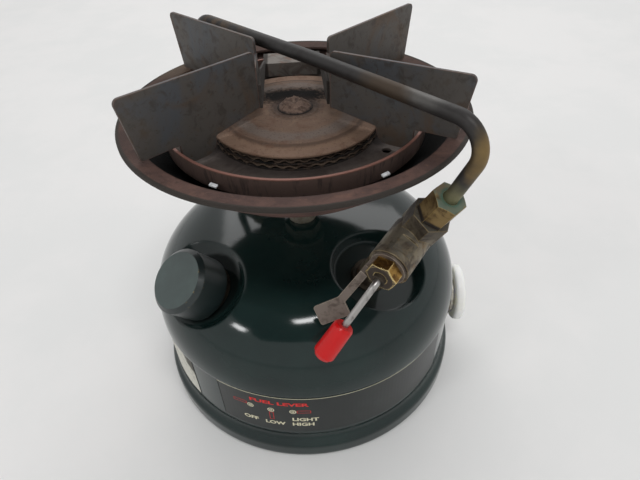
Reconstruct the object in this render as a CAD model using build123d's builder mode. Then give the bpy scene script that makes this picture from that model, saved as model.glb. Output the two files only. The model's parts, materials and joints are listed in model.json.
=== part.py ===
from build123d import *
import os
from math import atan2, cos, pi, radians, sin, sqrt, tan

os.makedirs("parts", exist_ok=True)

# Fits between pieces
seat_gap = 0.10
running_gap = 0.08
body_gap = 0.30

# Fount: dome, lower shell and base ring
base_radius = 71.0
base_height = 14.0
base_lip = 1.2
base_step = 2.7
base_roll = 2.2
band_radius = base_radius - base_step
seam_height = 42.5
collar_height = 7.5
dome_lip = 0.6
dome_radius = band_radius + dome_lip
dome_top = 77.0
dome_skirt = 1.5
crown_rise = 2.3
shoulder_height = seam_height + dome_skirt
shoulder_radius = dome_top - shoulder_height - crown_rise
sheet = 1.0
floor_height = 5.5
floor_bevel = 4.0

# Filler: a slanted neck in a dished recess
filler_azimuth = -143.5
filler_elevation = 52.0
filler_inset = 14.3
filler_lift = 0.25
filler_dish_azimuth = -145.5
filler_dish_elevation = 62.0
filler_dish_inset = 18.65
filler_dish_depth = 6.75
filler_dish_floor = 16.2
filler_dish_slope = 1.5
neck_radius = 8.9
neck_bore = 7.0
neck_flange_radius = 11.0
neck_flange = 1.5
neck_reach = 4.0
cap_radius = 12.9
cap_top = 11.2
cap_height = 14.3
cap_roof = 7.5
cap_bevel = 1.7
gasket_thickness = 1.6
gasket_hole = 6.0
insert_lip = 0.6
insert_pin = 1.8
insert_pin_length = 1.2

# Pump: level, through the band on the right
pump_azimuth = -5.0
pump_height = 27.5
pump_outer = 8.5
pump_wall = 1.0
pump_length = 89.6
pump_collar_radius = 10.5
pump_collar = 1.3
pump_cap_brim = 0.8
pump_cap_plug = 6.0
pump_cap_thickness = 1.5
rod_radius = 2.5
rod_shoulder = 5.5
rod_tail = 4.5
knob_radius = 13.5
knob_thickness = 4.6
knob_round = 1.6
leather_place = 10.0
leather_length = 6.0
leather_wall = 1.2
leather_web = 1.5
leather_hub = 4.6
leather_nut_flats = 6.4
leather_nut_length = 3.5
check_valve_length = 4.0
check_valve_tail = 3.0
check_valve_radius = 4.0
check_valve_bore = 1.0

# Valve: a slanted riser with a level barrel branching off it
valve_azimuth = -50.0
valve_elevation = 61.0
valve_inset = 24.7
valve_lift = 1.9
valve_dish_azimuth = -46.5
valve_dish_elevation = 73.0
valve_dish_inset = 28.6
valve_dish_depth = 8.4
valve_dish_floor = 17.0
valve_dish_slope = 0.4
valve_bush_radius = 7.2
valve_bush = 2.0
riser_radius = 5.6
stub_radius = 4.6
stub_reach = 7.0
block_start = 31.5
block_end = 42.5
block_flats = 12.4
spigot_radius = 3.8
spigot_length = 5.0
fuel_bore = 2.0
barrel_rise = 29.0
barrel_turn = 13.0
barrel_radius = 7.2
barrel_length = 17.4
barrel_flat_depth = 0.8
barrel_flat_start = 8.2
barrel_flat_length = 6.6
stem_bore = 2.8
stem_radius = 2.2
packing_nut_flats = 9.8
packing_nut_length = 5.4
packing_nut_wall = 1.4
packing_length = 1.6
stem_out = 1.5

# Fuel lever and its stop
lever_wire = 1.2
lever_swing = 6.0
lever_bend = 52.0
lever_lead = 2.0
lever_reach = 24.2
lever_bend_radius = 3.5
lever_socket = 3.0
grip_radius = 3.9
grip_length = 14.0
grip_socket = 7.0
grip_round = 0.9
grip_bevel = 1.4
grip_taper = 0.3
stop_sheet = 0.9
stop_offset = 4.5
stop_sink = 7.2
stop_width = 2.9
stop_lead = 3.5
stop_bend = 50.0
stop_drop = 12.9
stop_inset = 0.9
paddle_length = 11.2
paddle_width = 7.2
paddle_corner = 0.9
paddle_turn = 26.0
paddle_reach = 4.4

# Fuel pickup inside the fount
pickup_radius = 2.2
pickup_lead = 8.0
pickup_bend = 8.0
pickup_foot = 9.0
filter_radius = 3.6
filter_length = 9.0
filter_tail = 1.6

# Generator: jam nut and the tube over the burner
generator_nut_flats = 10.2
generator_nut_length = 10.5
generator_nut_wall = 3.0
ferrule_radius = 3.6
ferrule_length = 2.0
tube_radius = 2.4
tube_bore = 1.5
tube_drop = 3.2
tube_lean = 11.1
tube_bow = 2.2
tube_mouth_bend = 20.0
tube_bend = 9.0
tube_bow_bend = 200.0
tube_inset = 5.6
tube_hang = 14.0
tube_low_bend = 8.0
tube_run_in = 23.6
needle_radius = 0.6
needle_length = 11.0
needle_collar = 1.5
tip_radius = 3.4
tip_length = 6.5
tip_sleeve = 4.0
tip_nose = 1.5
tip_face = 1.4
tip_gap = 2.6

# Burner stack on the axis, its bowl set from the jam nut
stud_flats = 14.0
stud_height = 11.0
stud_thread_radius = 4.6
stud_neck_radius = 5.8
stud_neck = 2.6
stud_collar = 2.2
stud_thread = 6.0
stud_spigot = 3.0
mixer_radius = 10.0
mixer_wall = 1.5
mixer_hub = 5.0
mixer_spoke = 3.0
intake_radius = 7.0
intake_bell = 8.6
intake_bell_length = 4.0
intake_wall = 1.2
bowl_shelf_radius = 17.0
bowl_shelf = 2.0
rim_over_nut = 7.76
rim_beside_nut = 5.74
bowl_depth = 18.2
bowl_slant = 20.8
bowl_flange = 6.6
bowl_flange_drop = 0.7
bowl_edge = 0.4
bowl_sheet = 1.0
tube_hole_gap = 1.2
vent_radius = 3.2
vent_count = 8
vent_start = 22.5
vent_inset = 9.4
bowl_screw_count = 3
bowl_screw_start = 10.0
bowl_screw_circle = 13.6
bowl_screw_radius = 1.3
bowl_screw_head = 2.4
bowl_screw_head_height = 1.4
cup_lift = 9.0
cup_overhang = 4.9
cup_depth = 8.2
cup_sheet = 1.0
cup_flare = 0.5
cup_corner = 1.5
cup_hole_radius = 1.6
cup_hole_azimuth = -35.4
cup_hole_inset = 10.3
cap_share = 2 / 3
ring_inset = 0.8
ring_width = 6.0
flat_ring = 0.6
wavy_ring = 1.5
wavy_web = 0.4
wavy_inset = 0.2
wave_count = 36
wave_turn = 5.0
layer_gap = 0.05
burner_cap_sheet = 0.9
burner_cap_brim = 5.6
burner_cap_boss = 9.0
burner_cap_rise = 1.6
burner_cap_fold = 0.6
burner_cap_edge = 0.3
screw_radius = 3.0
screw_tail = 2.0
screw_head_radius = 6.6
screw_head_rim = 0.9
screw_head = 1.9
bridge_thickness = 3.0

# Grate: two folded halves joined by a bridge at the back
grate_rise = 21.8
left_front_angle = 39.0
left_back_angle = 46.0
right_front_angle = 32.0
right_back_angle = 43.0
left_shift = 0.9
right_shift = -2.3
blade_inset = 13.8
blade_slant = 3.4
right_front_trim = 1.4
blade_corner = 2.0
blade_inner_corner = 1.6
web_x = 12.9
web_half = 6.2
web_drop = 5.5
web_bottom_rise = 1.8
blade_sheet = 1.0
lobe_gap = 0.8
lobe_clear = 1.6
lobe_over_cap = 1.6
lobe_share = 0.36
strap_cover = 9.8
strap_over = 1.7
strap_sheet = 0.9
strap_lip = 5.0
arm_height = 8.5


# Helpers for places and turned shapes
def polar(radius, azimuth, height):
    return Vector(radius * cos(radians(azimuth)), radius * sin(radians(azimuth)), height)


def slanted(origin, azimuth, elevation):
    level = (-sin(radians(azimuth)), cos(radians(azimuth)), 0)
    run = cos(radians(elevation))
    out = (run * cos(radians(azimuth)), run * sin(radians(azimuth)), sin(radians(elevation)))
    return Plane(origin=origin, x_dir=level, z_dir=out)


def along(plane, distance):
    return plane.origin + plane.z_dir * distance


def crossing(plane, floor):
    return (floor.origin - plane.origin).dot(floor.z_dir) / plane.z_dir.dot(floor.z_dir)


def turned(plane, start, end, outer, inner=0.0, mode=Mode.ADD):
    with BuildSketch(plane.offset(start)) as section:
        Circle(outer)
        if inner > 0:
            Circle(inner, mode=Mode.SUBTRACT)
    extrude(section.sketch, amount=end - start, mode=mode)


def hexagon(plane, start, end, across_flats, inner=0.0, rotation=0.0):
    with BuildSketch(plane.offset(start)) as section:
        RegularPolygon(across_flats / 2, 6, major_radius=False, rotation=rotation)
        if inner > 0:
            Circle(inner, mode=Mode.SUBTRACT)
    extrude(section.sketch, amount=end - start)


def lathe(plane, points, mode=Mode.ADD):
    upright = Plane(origin=plane.origin, x_dir=plane.x_dir, z_dir=-plane.y_dir)
    with BuildSketch(upright) as section:
        with BuildLine():
            Polyline(*points, close=True)
        make_face()
    revolve(section.sketch, axis=Axis(plane.origin, plane.z_dir), mode=mode)


def crowned(plane, start, end, across_flats):
    corner = across_flats / sqrt(3)
    bevel = (corner - across_flats / 2) / 2
    lathe(
        plane,
        [
            (0, start),
            (corner, start),
            (corner, end - bevel),
            (across_flats / 2 - bevel / 2, end),
            (0, end),
        ],
        Mode.INTERSECT,
    )


def keep(piece, name):
    piece.part.label = name
    export_step(piece.part, f"parts/{name}.step")


# Dome outline: a shoulder arc that runs tangent into a wide crown arc
shoulder_centre = dome_radius - shoulder_radius
dome_rise = dome_top - shoulder_height
crown_radius = (shoulder_centre**2 + dome_rise**2 - shoulder_radius**2) / (2 * (dome_rise - shoulder_radius))
crown_height = dome_top - crown_radius
crown_angle = atan2(shoulder_height - crown_height, shoulder_centre)


def dome_height(radius):
    if radius > crown_radius * cos(crown_angle):
        return shoulder_height + sqrt(shoulder_radius**2 - (radius - shoulder_centre) ** 2)
    return crown_height + sqrt(crown_radius**2 - radius**2)


def dome_section(inset, low):
    shoulder = shoulder_radius - inset
    crown = crown_radius - inset

    def on_shoulder(angle):
        return (shoulder_centre + shoulder * cos(angle), shoulder_height + shoulder * sin(angle))

    def on_crown(angle):
        return (crown * cos(angle), crown_height + crown * sin(angle))

    middle_angle = (crown_angle + pi / 2) / 2
    with BuildSketch(Plane.XZ) as section:
        with BuildLine():
            Polyline((0, low), (shoulder_centre + shoulder, low), on_shoulder(0))
            ThreePointArc(on_shoulder(0), on_shoulder(crown_angle / 2), on_shoulder(crown_angle))
            ThreePointArc(on_shoulder(crown_angle), on_crown(middle_angle), (0, crown_height + crown))
            Line((0, crown_height + crown), (0, low))
        make_face()
    return section.sketch


# Frames of the slanted fittings and of the dishes they stand in
def on_dome(inset, lift, azimuth, elevation):
    radius = dome_radius - inset
    return slanted(polar(radius, azimuth, dome_height(radius) + lift), azimuth, elevation)


filler = on_dome(filler_inset, filler_lift, filler_azimuth, filler_elevation)
filler_dish = on_dome(filler_dish_inset, -filler_dish_depth, filler_dish_azimuth, filler_dish_elevation)
valve = on_dome(valve_inset, valve_lift, valve_azimuth, valve_elevation)
valve_dish = on_dome(valve_dish_inset, -valve_dish_depth, valve_dish_azimuth, valve_dish_elevation)
dish_height = 22.0


def dish(plane, floor_radius, slope, inset, mode):
    wide = floor_radius + inset * (sqrt(1 + slope**2) - slope)
    lathe(
        plane,
        [
            (0, -inset),
            (wide, -inset),
            (wide + slope * dish_height, dish_height - inset),
            (0, dish_height - inset),
        ],
        mode,
    )


# Base ring: a flared skirt with a rolled foot
ring_inner_radius = band_radius - base_lip - seat_gap
skirt_high = base_height - base_step / 3
skirt_middle = base_height - 1.25 * base_step
skirt_low = base_height - 1.85 * base_step
skirt_end = base_height - 2.6 * base_step
skirt_bulge = base_step / 4.5
with BuildPart() as base_ring:
    with BuildSketch(Plane.XZ) as section:
        with BuildLine():
            Line((band_radius, base_height), (band_radius, skirt_high))
            ThreePointArc(
                (band_radius, skirt_high),
                (band_radius + skirt_bulge, skirt_middle),
                (base_radius - skirt_bulge, skirt_low),
            )
            ThreePointArc(
                (base_radius - skirt_bulge, skirt_low),
                (base_radius - skirt_bulge / 4, (skirt_low + skirt_end) / 2),
                (base_radius, skirt_end),
            )
            Line((base_radius, skirt_end), (base_radius, base_roll))
            ThreePointArc(
                (base_radius, base_roll),
                (base_radius - base_roll * (1 - sqrt(0.5)), base_roll * (1 - sqrt(0.5))),
                (base_radius - base_roll, 0),
            )
            Polyline(
                (base_radius - base_roll, 0),
                (ring_inner_radius, 0),
                (ring_inner_radius, base_lip),
                (base_radius - base_roll, base_lip),
                (base_radius - base_lip, base_roll),
                (base_radius - base_lip, skirt_end),
                (band_radius - seat_gap, skirt_low),
                (ring_inner_radius, skirt_middle),
                (ring_inner_radius, base_height),
                (band_radius, base_height),
            )
        make_face()
    revolve(section.sketch, axis=Axis.Z)
keep(base_ring, "base_ring")

# Lower shell: a stepped cup whose collar slips inside the dome
foot_radius = ring_inner_radius - seat_gap
collar_radius = dome_radius - sheet - seat_gap
collar_top = seam_height + collar_height
collar_rise = collar_top - shoulder_height
collar_lean = shoulder_centre + sqrt((collar_radius - shoulder_centre) ** 2 - collar_rise ** 2)
band_low = base_height + body_gap
pump = slanted(Vector(0, 0, pump_height), pump_azimuth, 0)
with BuildPart() as fount_bottom:
    lathe(
        Plane.XY,
        [
            (0, floor_height),
            (foot_radius - floor_bevel, floor_height),
            (foot_radius, floor_height + floor_bevel),
            (foot_radius, band_low),
            (band_radius, band_low),
            (band_radius, seam_height - seat_gap),
            (collar_radius, seam_height - seat_gap),
            (collar_radius, shoulder_height),
            (collar_lean, collar_top),
            (collar_lean - sheet, collar_top),
            (collar_radius - sheet, shoulder_height),
            (collar_radius - sheet, seam_height - sheet - seat_gap),
            (band_radius - sheet, seam_height - sheet - seat_gap),
            (band_radius - sheet, band_low + sheet),
            (foot_radius - sheet, band_low + sheet),
            (foot_radius - sheet, floor_height + floor_bevel + sheet / 2),
            (foot_radius - floor_bevel - sheet / 2, floor_height + sheet),
            (0, floor_height + sheet),
        ],
    )
    turned(pump, band_radius / 2, base_radius, pump_outer + seat_gap, mode=Mode.SUBTRACT)
keep(fount_bottom, "fount_bottom")

# Dome: pressed shell with one dish for the filler and one for the valve
neck_seat = crossing(filler, filler_dish) + seat_gap
bush_seat = crossing(valve, valve_dish) + seat_gap
bush_top = bush_seat + valve_bush
with BuildPart() as fount_space:
    revolve(dome_section(sheet, seam_height - sheet), axis=Axis.Z)
    dish(filler_dish, filler_dish_floor, filler_dish_slope, sheet, Mode.SUBTRACT)
    dish(valve_dish, valve_dish_floor, valve_dish_slope, sheet, Mode.SUBTRACT)
with BuildPart() as fount_dome:
    revolve(dome_section(0, seam_height), axis=Axis.Z)
    dish(filler_dish, filler_dish_floor, filler_dish_slope, 0, Mode.SUBTRACT)
    dish(valve_dish, valve_dish_floor, valve_dish_slope, 0, Mode.SUBTRACT)
    add(fount_space.part, mode=Mode.SUBTRACT)
    turned(filler, neck_seat - neck_radius, neck_seat + neck_radius, neck_radius + seat_gap,
           mode=Mode.SUBTRACT)
    turned(valve, bush_seat - stub_radius, bush_seat + stub_radius, stub_radius + seat_gap,
           mode=Mode.SUBTRACT)
    turned(Plane.XY, dome_top - 3 * sheet, dome_top + sheet, stud_thread_radius + seat_gap,
           mode=Mode.SUBTRACT)
keep(fount_dome, "fount_dome")

# Filler neck on the slanting dish floor, and the cap with its gasket and insert
roof_low = cap_top - cap_roof
gasket_high = roof_low - seat_gap
gasket_low = gasket_high - gasket_thickness
neck_top = gasket_low - seat_gap
cap_low = cap_top - cap_height
cap_inside = neck_radius + body_gap
with BuildPart() as filler_neck:
    turned(filler, neck_seat - neck_reach, neck_seat + neck_flange, neck_flange_radius)
    turned(filler_dish, -filler_dish_floor, seat_gap, filler_dish_floor, mode=Mode.SUBTRACT)
    turned(filler, neck_seat - neck_reach, neck_top, neck_radius)
    turned(filler, neck_seat - neck_reach, neck_top, neck_bore, mode=Mode.SUBTRACT)
keep(filler_neck, "filler_neck")

with BuildPart() as filler_cap:
    turned(filler, cap_low, cap_top, cap_radius)
    turned(filler, cap_low, roof_low, cap_inside, mode=Mode.SUBTRACT)
    turned(filler, roof_low, roof_low + insert_pin_length + body_gap, insert_pin + body_gap,
           mode=Mode.SUBTRACT)
    cap_edges = filler_cap.edges().filter_by(GeomType.CIRCLE)
    rim = cap_edges.group_by(lambda e: filler.to_local_coords(e.center()).Z)[-1]
    chamfer(rim, cap_bevel)
keep(filler_cap, "filler_cap")

with BuildPart() as filler_gasket:
    turned(filler, gasket_low, gasket_high, neck_radius - seat_gap, gasket_hole)
keep(filler_gasket, "filler_gasket")

with BuildPart() as filler_cap_insert:
    turned(filler, gasket_low - insert_lip, gasket_high, gasket_hole - seat_gap)
    turned(filler, gasket_high, roof_low + insert_pin_length, insert_pin)
keep(filler_cap_insert, "filler_cap_insert")

# Pump cylinder with its collar shaped to the band
pump_bore = pump_outer - pump_wall
pump_collar_face = band_radius + pump_collar
pump_end = pump_collar_face - pump_length
leather_low = pump_end + leather_place
leather_high = leather_low + leather_length
with BuildPart() as pump_cylinder:
    turned(pump, band_radius - 2 * pump_collar, pump_collar_face, pump_collar_radius)
    turned(Plane.XY, 0, 2 * pump_height, band_radius + seat_gap, mode=Mode.SUBTRACT)
    turned(pump, pump_end, pump_collar_face - pump_collar / 2, pump_outer)
    turned(pump, pump_end, pump_collar_face, pump_bore, mode=Mode.SUBTRACT)
keep(pump_cylinder, "pump_cylinder")

with BuildPart() as pump_cap:
    turned(pump, pump_collar_face, pump_collar_face + pump_cap_thickness, pump_outer + pump_cap_brim)
    turned(pump, pump_collar_face - pump_cap_plug, pump_collar_face, pump_bore - seat_gap)
    turned(pump, pump_collar_face - pump_cap_plug, pump_collar_face + pump_cap_thickness,
           rod_radius + running_gap, mode=Mode.SUBTRACT)
keep(pump_cap, "pump_cap")

knob_low = pump_collar_face + pump_cap_thickness + body_gap
knob_face = knob_low + knob_thickness
with BuildPart() as pump_rod:
    turned(pump, leather_low - rod_tail, knob_low + knob_thickness / 2, rod_radius)
    turned(pump, leather_high, leather_high + leather_web, rod_shoulder)
keep(pump_rod, "pump_rod")

with BuildPart() as pump_knob:
    turned(pump, knob_low, knob_face, knob_radius)
    turned(pump, knob_low, knob_low + knob_thickness / 2, rod_radius + seat_gap / 2, mode=Mode.SUBTRACT)
    knob_circles = pump_knob.edges().filter_by(GeomType.CIRCLE)
    knob_edges = knob_circles.filter_by(lambda e: e.radius > knob_radius - seat_gap)
    fillet(knob_edges, knob_round)
keep(pump_knob, "pump_knob")

with BuildPart() as pump_leather:
    turned(pump, leather_low, leather_high, pump_bore - running_gap, rod_radius + seat_gap / 2)
    turned(pump, leather_low, leather_high - leather_web, pump_bore - leather_wall, leather_hub,
           mode=Mode.SUBTRACT)
keep(pump_leather, "pump_leather")

with BuildPart() as pump_leather_nut:
    hexagon(pump, leather_low - leather_nut_length, leather_low, leather_nut_flats, rod_radius + seat_gap / 2)
keep(pump_leather_nut, "pump_leather_nut")

with BuildPart() as check_valve:
    turned(pump, pump_end, pump_end + check_valve_length, pump_bore - seat_gap)
    turned(pump, pump_end - check_valve_tail, pump_end, check_valve_radius)
    turned(pump, pump_end - check_valve_tail, pump_end + check_valve_length, check_valve_bore,
           mode=Mode.SUBTRACT)
keep(check_valve, "check_valve")

# Valve bush on the slanting dish floor, and the valve body with its barrel
with BuildPart() as valve_bush_ring:
    turned(valve, bush_seat - stub_radius, bush_top, valve_bush_radius)
    turned(valve_dish, -valve_dish_floor, seat_gap, valve_dish_floor, mode=Mode.SUBTRACT)
    turned(valve, bush_seat - stub_radius, bush_top, stub_radius + seat_gap, mode=Mode.SUBTRACT)
keep(valve_bush_ring, "valve_bush")

barrel_swing = radians(180 + barrel_turn)
barrel_out = valve.x_dir * cos(barrel_swing) + valve.y_dir * sin(barrel_swing)
barrel = Plane(origin=along(valve, barrel_rise), x_dir=valve.z_dir, z_dir=barrel_out)
barrel_spigot = barrel_length + packing_nut_length - packing_nut_wall - packing_length - seat_gap
with BuildPart() as valve_body:
    turned(valve, bush_top, block_start, riser_radius)
    turned(valve, bush_seat - stub_reach, bush_top, stub_radius)
    hexagon(valve, block_start, block_end, block_flats, rotation=30)
    turned(valve, block_end, block_end + spigot_length, spigot_radius)
    turned(barrel, 0, barrel_length, barrel_radius)
    turned(barrel, barrel_length, barrel_spigot, spigot_radius)
    turned(valve, bush_seat - stub_reach, block_end + spigot_length, fuel_bore, mode=Mode.SUBTRACT)
    turned(barrel, -stem_bore, barrel_spigot, stem_bore, mode=Mode.SUBTRACT)
    with BuildSketch(barrel.offset(barrel_flat_start)) as flat:
        with Locations((barrel_radius, 0)):
            Rectangle(2 * barrel_flat_depth, 2 * barrel_radius)
    extrude(flat.sketch, amount=barrel_flat_length, mode=Mode.SUBTRACT)
keep(valve_body, "valve_body")

# Lever stop: a washer under the packing nut with a bent arm and a turned paddle
stop_low = barrel_length
stop_high = barrel_length + stop_sheet
stop_side = Plane(origin=along(barrel, stop_low), x_dir=barrel.z_dir, z_dir=barrel.y_dir)
stop_cos = cos(radians(stop_bend))
stop_sin = sin(radians(stop_bend))
stop_out = barrel.z_dir * stop_cos - barrel.x_dir * stop_sin
arm_knee = stop_sheet * tan(radians(stop_bend / 2))
arm_end = (stop_lead + stop_drop * stop_cos, -stop_sink - stop_drop * stop_sin)
paddle_origin = stop_side.from_local_coords(Vector(arm_end[0], arm_end[1], stop_offset))
paddle = Plane(origin=paddle_origin, x_dir=stop_out, z_dir=stop_out.cross(barrel.y_dir))
with BuildPart() as lever_stop:
    turned(barrel, stop_low, stop_high, barrel_radius - stop_inset)
    with BuildSketch(barrel.offset(stop_low)) as ear:
        with Locations((-stop_sink / 2, stop_offset)):
            Rectangle(stop_sink, stop_width)
    extrude(ear.sketch, amount=stop_sheet)
    turned(barrel, stop_low, stop_high, spigot_radius + seat_gap, mode=Mode.SUBTRACT)
    with BuildSketch(stop_side.offset(stop_offset - stop_width / 2)) as arm:
        with BuildLine():
            Polyline(
                (0, -stop_sink),
                (stop_lead, -stop_sink),
                arm_end,
                (arm_end[0] + stop_sheet * stop_sin, arm_end[1] + stop_sheet * stop_cos),
                (stop_lead + arm_knee, -stop_sink + stop_sheet),
                (0, -stop_sink + stop_sheet),
                close=True,
            )
        make_face()
    extrude(arm.sketch, amount=stop_width)
    with BuildSketch(paddle) as blank:
        with Locations((paddle_reach, 0)):
            RectangleRounded(paddle_length, paddle_width, paddle_corner, rotation=paddle_turn)
    extrude(blank.sketch, amount=-stop_sheet)
keep(lever_stop, "lever_stop")

# Packing nut, packing and the turning stem
nut_low = stop_high
nut_high = barrel_length + packing_nut_length
with BuildPart() as packing_nut:
    hexagon(barrel, nut_low, nut_high, packing_nut_flats)
    crowned(barrel, nut_low, nut_high, packing_nut_flats)
    turned(barrel, nut_low, nut_high - packing_nut_wall, spigot_radius + seat_gap, mode=Mode.SUBTRACT)
    turned(barrel, nut_low, nut_high, stem_radius + running_gap, mode=Mode.SUBTRACT)
keep(packing_nut, "packing_nut")

with BuildPart() as stem_packing:
    turned(barrel, barrel_spigot + seat_gap / 2, nut_high - packing_nut_wall - seat_gap / 2, spigot_radius,
           stem_radius + running_gap)
keep(stem_packing, "stem_packing")

stem_end = nut_high + stem_out
with BuildPart() as valve_stem:
    turned(barrel, stem_bore, stem_end, stem_radius)
    turned(barrel, barrel_length / 2, barrel_spigot - 2 * stop_sheet, stem_bore - running_gap)
    turned(barrel, stem_end - lever_socket, stem_end, lever_wire + seat_gap / 2, mode=Mode.SUBTRACT)
keep(valve_stem, "valve_stem")

# Fuel lever: a bent wire in the end of the stem, with a dipped grip
bend_cos = cos(radians(lever_bend))
bend_sin = sin(radians(lever_bend))
swing_cos = cos(radians(lever_swing))
swing_sin = sin(radians(lever_swing))
lever_across = barrel.y_dir * swing_cos - barrel.x_dir * swing_sin
lever_up = barrel.x_dir * swing_cos + barrel.y_dir * swing_sin
lever_side = Plane(origin=along(barrel, stem_end), x_dir=barrel.z_dir, z_dir=lever_across)
lever_tip = (lever_lead + lever_reach * bend_cos, -lever_reach * bend_sin)


def on_lever(point):
    return lever_side.from_local_coords(Vector(point[0], point[1], 0))


with BuildPart() as fuel_lever:
    with BuildLine() as wire:
        FilletPolyline(
            on_lever((-lever_socket, 0)),
            on_lever((lever_lead, 0)),
            on_lever(lever_tip),
            radius=lever_bend_radius,
        )
    with BuildSketch(barrel.offset(stem_end - lever_socket)) as section:
        Circle(lever_wire)
    sweep(section.sketch, path=wire.wire())
keep(fuel_lever, "fuel_lever")

lever_out = barrel.z_dir * bend_cos - lever_up * bend_sin
grip_plane = Plane(origin=on_lever(lever_tip), x_dir=lever_across, z_dir=lever_out)
grip_end = grip_length - grip_socket
with BuildPart() as lever_grip:
    lathe(
        grip_plane,
        [
            (0, grip_end),
            (grip_radius - grip_round, grip_end),
            (grip_radius, grip_end - grip_bevel),
            (grip_radius - grip_taper, grip_round - grip_socket),
            (grip_radius - grip_round, -grip_socket),
            (lever_wire + seat_gap / 2, -grip_socket),
            (lever_wire + seat_gap / 2, seat_gap),
            (0, seat_gap),
        ],
    )
keep(lever_grip, "lever_grip")

# Fuel pickup: from the valve stub, bent to hang straight down, with a screen at its foot
pickup_start = along(valve, bush_seat - stub_reach - seat_gap)
pickup_knee = along(valve, bush_seat - stub_reach - pickup_lead)
pickup_low = Vector(pickup_knee.X, pickup_knee.Y, pickup_foot)
with BuildPart() as pickup_tube:
    with BuildLine() as drop:
        FilletPolyline(pickup_start, pickup_knee, pickup_low, radius=pickup_bend)
    with BuildSketch(Plane(origin=pickup_start, z_dir=-valve.z_dir)) as section:
        Circle(pickup_radius)
        Circle(pickup_radius / 2, mode=Mode.SUBTRACT)
    sweep(section.sketch, path=drop.wire())
keep(pickup_tube, "pickup_tube")

with BuildPart() as pickup_filter:
    foot = Plane(origin=(pickup_low.X, pickup_low.Y, pickup_foot))
    turned(foot, -filter_tail, filter_length, filter_radius)
    turned(foot, -seat_gap / 2, filter_length, pickup_radius + seat_gap / 2, mode=Mode.SUBTRACT)
keep(pickup_filter, "pickup_filter")

# Jam nut, and the levels and radii of the burner set from it
jam_low = block_end + seat_gap
jam_high = jam_low + generator_nut_length
ferrule_low = block_end + spigot_length + seat_gap
with BuildPart() as generator_nut:
    hexagon(valve, jam_low, jam_high, generator_nut_flats)
    crowned(valve, jam_low, jam_high, generator_nut_flats)
    turned(valve, jam_low, jam_high - generator_nut_wall, spigot_radius + seat_gap, mode=Mode.SUBTRACT)
    turned(valve, jam_low, jam_high, tube_radius + seat_gap, mode=Mode.SUBTRACT)
keep(generator_nut, "generator_nut")

nut_top = along(valve, jam_high)
nut_reach = sqrt(nut_top.X**2 + nut_top.Y**2)
bowl_rim_radius = nut_reach - rim_beside_nut
bowl_rim_height = nut_top.Z + rim_over_nut
bowl_floor = bowl_rim_height - bowl_depth
bowl_floor_radius = bowl_rim_radius - bowl_slant
bowl_flange_inner = bowl_rim_radius - bowl_flange
cup_floor = bowl_floor + cup_lift
cup_radius = bowl_floor_radius + cup_overhang
cup_rim_height = cup_floor + cup_depth
burner_cap_radius = cup_radius * cap_share
burner_cap_step = burner_cap_radius - burner_cap_brim
ring_outer = burner_cap_radius - ring_inset
ring_inner = ring_outer - ring_width
blade_top = bowl_rim_height + grate_rise

# Generator: bent tube with a ferrule, cleaning needle and gas tip
tube_height = blade_top - tube_drop
tube_near_radius = nut_reach + tube_lean
tube_far_radius = bowl_rim_radius - tube_inset
tube_low_height = bowl_floor - tube_hang
tube_end_radius = tube_far_radius - tube_run_in
tube_start = along(valve, ferrule_low)
tube_middle_radius = (tube_near_radius - tube_far_radius) / 2
tube_middle = polar(tube_middle_radius, valve_azimuth, tube_height) + Vector(0, tube_bow, 0)
tube_bends = [tube_mouth_bend, tube_bend, tube_bow_bend, tube_bend, tube_low_bend]
tube_points = [
    tube_start,
    along(valve, jam_high + tube_bore),
    polar(tube_near_radius, valve_azimuth, tube_height),
    tube_middle,
    polar(-tube_far_radius, valve_azimuth, tube_height),
    polar(-tube_far_radius, valve_azimuth, tube_low_height),
    polar(-tube_end_radius, valve_azimuth, tube_low_height),
]
with BuildPart() as generator_tube:
    with BuildLine() as run:
        FilletPolyline(*tube_points, radius=tube_bends)
    with BuildSketch(Plane(origin=tube_start, z_dir=valve.z_dir)) as section:
        Circle(tube_radius)
        Circle(tube_bore, mode=Mode.SUBTRACT)
    sweep(section.sketch, path=run.wire())
    turned(valve, ferrule_low, ferrule_low + ferrule_length, ferrule_radius, tube_bore)
keep(generator_tube, "generator_tube")

inward = slanted(polar(-tube_end_radius, valve_azimuth, tube_low_height), valve_azimuth, 0)
nose_low = tip_length - tip_nose
with BuildPart() as gas_tip:
    turned(inward, -tip_sleeve, nose_low, tip_radius)
    lathe(inward, [(0, nose_low), (tip_radius, nose_low), (tip_face, tip_length), (0, tip_length)])
    turned(inward, -tip_sleeve, seat_gap, tube_radius + seat_gap / 2, mode=Mode.SUBTRACT)
    turned(inward, 0, tip_length, needle_radius + seat_gap, mode=Mode.SUBTRACT)
keep(gas_tip, "gas_tip")

needle_low = tip_length - needle_length
with BuildPart() as cleaning_needle:
    turned(inward, needle_low, tip_length - tip_nose / 2, needle_radius)
    turned(inward, needle_low, needle_low + needle_collar, tube_bore - seat_gap / 2)
keep(cleaning_needle, "cleaning_needle")

# Burner stud: the hex fitting on the crown of the dome
stud_low = dome_top + seat_gap
stud_top = stud_low + stud_height
with BuildPart() as burner_stud:
    hexagon(Plane.XY, stud_low + stud_neck, stud_top - stud_collar, stud_flats)
    turned(Plane.XY, stud_low, stud_low + stud_neck, stud_neck_radius)
    turned(Plane.XY, stud_top - stud_collar, stud_top, mixer_radius)
    turned(Plane.XY, stud_low - stud_thread, stud_low, stud_thread_radius)
    turned(Plane.XY, stud_top, stud_top + stud_spigot, mixer_radius - mixer_wall - seat_gap)
keep(burner_stud, "burner_stud")

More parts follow.
